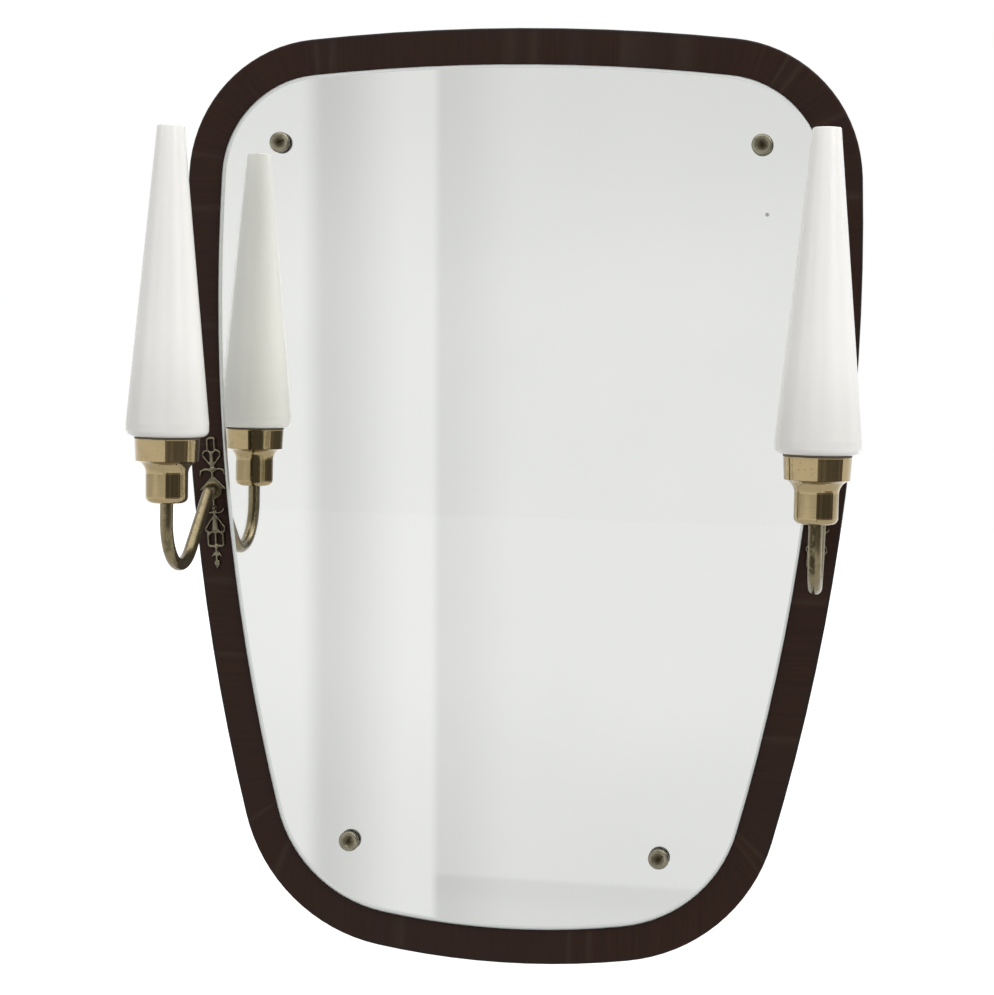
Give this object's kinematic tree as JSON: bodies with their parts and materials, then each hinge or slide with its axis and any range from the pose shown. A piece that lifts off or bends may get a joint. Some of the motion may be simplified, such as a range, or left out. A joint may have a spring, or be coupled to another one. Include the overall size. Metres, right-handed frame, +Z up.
{
  "type": "wall mirror with sconces",
  "caption": "Wall mirror on a rounded dark-veneered panel, held by rosettes and flanked by brass sconces with tapered opal glass shades that lift off; hangs on keyhole plates.",
  "frame": {"origin": "on the wall plane, in the back face of the panel, on the middle line at half of the panel's height", "axes": "+Z up, +X to the viewer's right, -Y out of the wall towards the viewer"},
  "size_m": [0.496, 0.1542, 0.67],
  "materials": {
    "veneer": "very dark red-brown veneer, satin lacquer",
    "mirror_glass": "silvered float glass with a ground edge",
    "polished_brass": "polished, lightly aged",
    "aged_brass": "dull with age, finely hammered",
    "rubber": "matt",
    "zinced_steel": "zinc plated",
    "terminal_plastic": "cream moulding",
    "bakelite": "dark brown-black moulding",
    "nickel_cap": "nickel plated thread",
    "bulb_glass": "frosted inside",
    "opal_glass": "white opal, satin etched"
  },
  "bodies": {
    "wall_part": {"panel": "veneer", "mirror_glass": "mirror_glass", "glass_rosettes": "polished_brass", "glass_screws": "aged_brass", "glass_sleeves": "rubber", "left_hanger": "zinced_steel", "right_hanger": "zinced_steel", "hanger_screws": "zinced_steel", "terminal_block": "terminal_plastic", "terminal_screws": "zinced_steel", "block_screw": "zinced_steel", "left_backplate": "aged_brass", "left_plate_pins": "polished_brass", "left_arm": "aged_brass", "left_arm_washer": "zinced_steel", "left_arm_nut": "aged_brass", "left_cup": "polished_brass", "left_cup_nut": "aged_brass", "left_seat_ring": "rubber", "left_lampholder": "bakelite", "left_holder_shell": "polished_brass", "left_holder_contact": "polished_brass", "left_bulb_cap": "nickel_cap", "left_bulb_glass": "bulb_glass", "right_backplate": "aged_brass", "right_plate_pins": "polished_brass", "right_arm": "aged_brass", "right_arm_washer": "zinced_steel", "right_arm_nut": "aged_brass", "right_cup": "polished_brass", "right_cup_nut": "aged_brass", "right_seat_ring": "rubber", "right_lampholder": "bakelite", "right_holder_shell": "polished_brass", "right_holder_contact": "polished_brass", "right_bulb_cap": "nickel_cap", "right_bulb_glass": "bulb_glass"},
    "left_shade": {"left_shade": "opal_glass"},
    "right_shade": {"right_shade": "opal_glass"}
  },
  "joints": [
    {"name": "left_shade_lift", "type": "slide", "parent": "wall_part", "child": "left_shade", "axis": [0, 0, 1], "range_m": [0, 0.09]},
    {"name": "right_shade_lift", "type": "slide", "parent": "wall_part", "child": "right_shade", "axis": [0, 0, 1], "range_m": [0, 0.09]}
  ]
}
